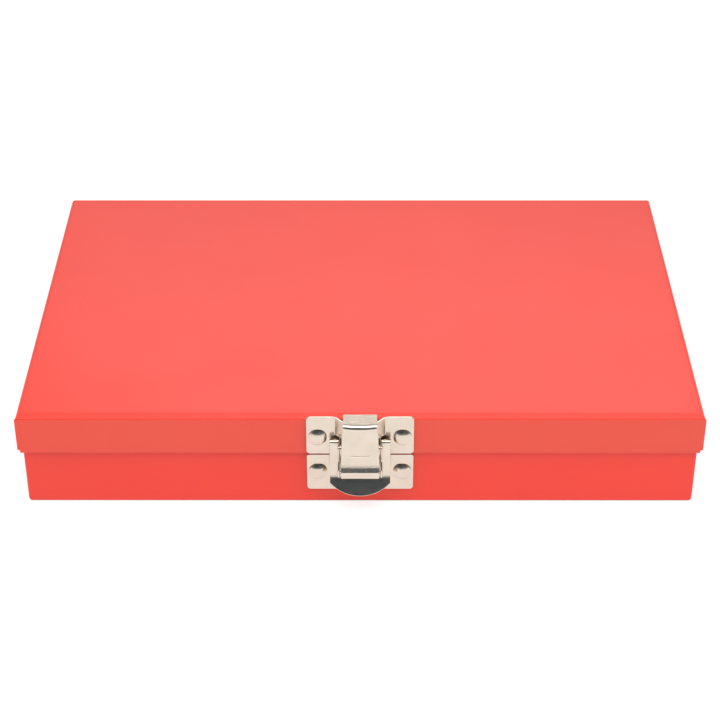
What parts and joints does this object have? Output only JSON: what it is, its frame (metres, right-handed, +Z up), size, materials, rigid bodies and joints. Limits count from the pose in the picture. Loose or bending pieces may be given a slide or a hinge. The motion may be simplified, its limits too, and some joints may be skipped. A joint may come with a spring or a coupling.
{
  "type": "toolbox with tray",
  "caption": "Flat sheet-steel tool case with a hinged lid, an over-centre toggle latch in the middle of the front and a divided tray that lifts out.",
  "frame": {"origin": "middle of the base's flat underside, on the surface that the case stands on", "axes": "+X to the right seen from the latch, +Y from the latch to the hinges, +Z up"},
  "size_m": [0.28, 0.1968, 0.0459],
  "materials": {
    "red_enamel": "smooth satin red powder coat on sheet steel",
    "nickel": "bright warm nickel plating on pressed steel"
  },
  "bodies": {
    "base": {"base_pan": "red_enamel", "tray_ledge_L": "red_enamel", "tray_ledge_R": "red_enamel", "hinge_base_leaf_L": "nickel", "hinge_base_leaf_R": "nickel", "hinge_pin_L": "nickel", "hinge_pin_R": "nickel", "base_leaf_rivet_L1": "nickel", "base_leaf_rivet_L2": "nickel", "base_leaf_rivet_R1": "nickel", "base_leaf_rivet_R2": "nickel", "latch_base_plate": "nickel", "latch_rivet_L": "nickel", "latch_rivet_R": "nickel", "lever_pin": "nickel"},
    "lid": {"lid_shell": "red_enamel", "keeper_plate": "nickel", "keeper_rivet_L": "nickel", "keeper_rivet_R": "nickel", "hinge_lid_leaf_L": "nickel", "hinge_lid_leaf_R": "nickel", "lid_leaf_rivet_L1": "nickel", "lid_leaf_rivet_L2": "nickel", "lid_leaf_rivet_R1": "nickel", "lid_leaf_rivet_R2": "nickel"},
    "lever": {"latch_lever": "nickel", "hasp_pin": "nickel"},
    "hasp": {"latch_hasp": "nickel"},
    "tray": {"tray_pan": "red_enamel", "tray_divider_long": "red_enamel", "tray_divider_cross_1": "red_enamel", "tray_divider_cross_2": "red_enamel", "tray_divider_cross_3": "red_enamel"}
  },
  "joints": [
    {"name": "lid_hinge", "type": "hinge", "parent": "base", "child": "lid", "pos_m": [0, 0.09415, 0.0239], "axis": [-1, 0, 0], "range_deg": [0, 180]},
    {"name": "lever_pivot", "type": "hinge", "parent": "base", "child": "lever", "pos_m": [0, -0.0979, 0.033], "axis": [-1, 0, 0], "range_deg": [0, 110]},
    {"name": "hasp_pivot", "type": "hinge", "parent": "lever", "child": "hasp", "pos_m": [0, -0.0986, 0.0208], "axis": [1, 0, 0], "range_deg": [0, 122]},
    {"name": "tray_lift", "type": "slide", "parent": "base", "child": "tray", "axis": [0, 0, 1], "range_m": [0, 0.15]}
  ],
  "couplings": [
    {"joint": "hasp_pivot", "follows": "lever_pivot", "ratio": 1.1}
  ]
}
